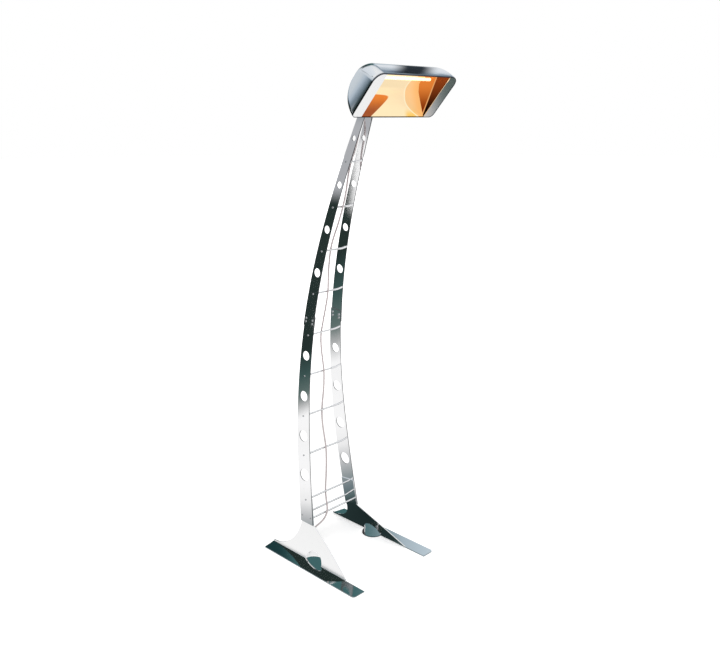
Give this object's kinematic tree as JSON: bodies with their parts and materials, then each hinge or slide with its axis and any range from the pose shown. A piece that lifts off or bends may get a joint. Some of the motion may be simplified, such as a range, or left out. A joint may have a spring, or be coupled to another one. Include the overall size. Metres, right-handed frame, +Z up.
{
  "type": "infrared patio heater",
  "caption": "Free-standing infrared patio heater: a tilting polished head on a bowed ladder of two pierced steel straps with spread feet.",
  "frame": {"origin": "on the floor, in the middle of the box around the heater without its cord", "axes": "+Z up, the head leans out and shines towards -Y, +X runs from the left foot to the right foot"},
  "size_m": [0.532, 0.6844, 2.0802],
  "materials": {
    "polished_steel": "mirror-polished stainless steel",
    "fastener_steel": "plain stainless steel fasteners",
    "gold_reflector": "polished gold-anodised aluminium",
    "inner_sheet": "mill-finish sheet inside the head",
    "quartz": "amber-tinted clear quartz",
    "filament": "tungsten wire",
    "ceramic": "opaque off-white ceramic",
    "black_plastic": "fine-grained black plastic",
    "fibre": "fibre friction disc",
    "terminal_plastic": "pale heat-proof plastic",
    "wire_sleeve": "silicone wire sleeve",
    "cord_rubber": "satin grey rubber cord",
    "plug_rubber": "moulded rubber",
    "plug_metal": "nickel-plated pins"
  },
  "bodies": {
    "tower": {"upper_strap_left": "polished_steel", "upper_strap_right": "polished_steel", "lower_strap_left": "polished_steel", "lower_strap_right": "polished_steel", "foot_left": "polished_steel", "foot_right": "polished_steel", "rung_01": "polished_steel", "rung_02": "polished_steel", "rung_03": "polished_steel", "rung_04": "polished_steel", "rung_05": "polished_steel", "rung_06": "polished_steel", "rung_07": "polished_steel", "rung_08": "polished_steel", "rung_09": "polished_steel", "rung_10": "polished_steel", "rung_11": "polished_steel", "rung_screws_left": "fastener_steel", "rung_screws_right": "fastener_steel", "splice_screws": "fastener_steel", "splice_nuts": "fastener_steel", "pivot_bolt": "fastener_steel", "pivot_nut": "fastener_steel", "pivot_washers": "fastener_steel", "cord_clip": "black_plastic", "friction_washers": "fibre", "cord_head": "cord_rubber", "cord_tower": "cord_rubber", "cord_floor": "cord_rubber", "cord_coil": "cord_rubber", "cord_tail": "cord_rubber", "plug_relief": "plug_rubber", "plug_body": "plug_rubber", "plug_pins": "plug_metal"},
    "head": {"head_shell": "polished_steel", "bezel_left": "polished_steel", "bezel_right": "polished_steel", "reflector": "gold_reflector", "reflector_end_left": "gold_reflector", "reflector_end_right": "gold_reflector", "end_plate_left": "inner_sheet", "end_plate_right": "inner_sheet", "lamp_tube": "quartz", "lamp_filament": "filament", "lamp_caps": "ceramic", "lamp_holder_left": "ceramic", "lamp_holder_right": "ceramic", "holder_screws": "fastener_steel", "terminal_block": "terminal_plastic", "lamp_leads": "wire_sleeve", "supply_leads": "wire_sleeve", "cable_gland": "black_plastic", "gland_nut": "black_plastic", "head_bracket": "polished_steel", "bracket_screws": "fastener_steel", "bracket_nuts": "fastener_steel", "pivot_sleeve": "fastener_steel", "switch_housing": "black_plastic"},
    "rocker": {"switch_rocker": "black_plastic"}
  },
  "joints": [
    {"name": "head_tilt", "type": "hinge", "parent": "tower", "child": "head", "pos_m": [0, -0.10945, 1.99], "axis": [1, 0, 0], "range_deg": [-20, 25], "deforming": ["cord_head"]},
    {"name": "switch_turn", "type": "hinge", "parent": "head", "child": "rocker", "pos_m": [-0.074, -0.18253, 2.02619], "axis": [0, -0.6826, 0.7308], "range_deg": [-20, 0]}
  ]
}
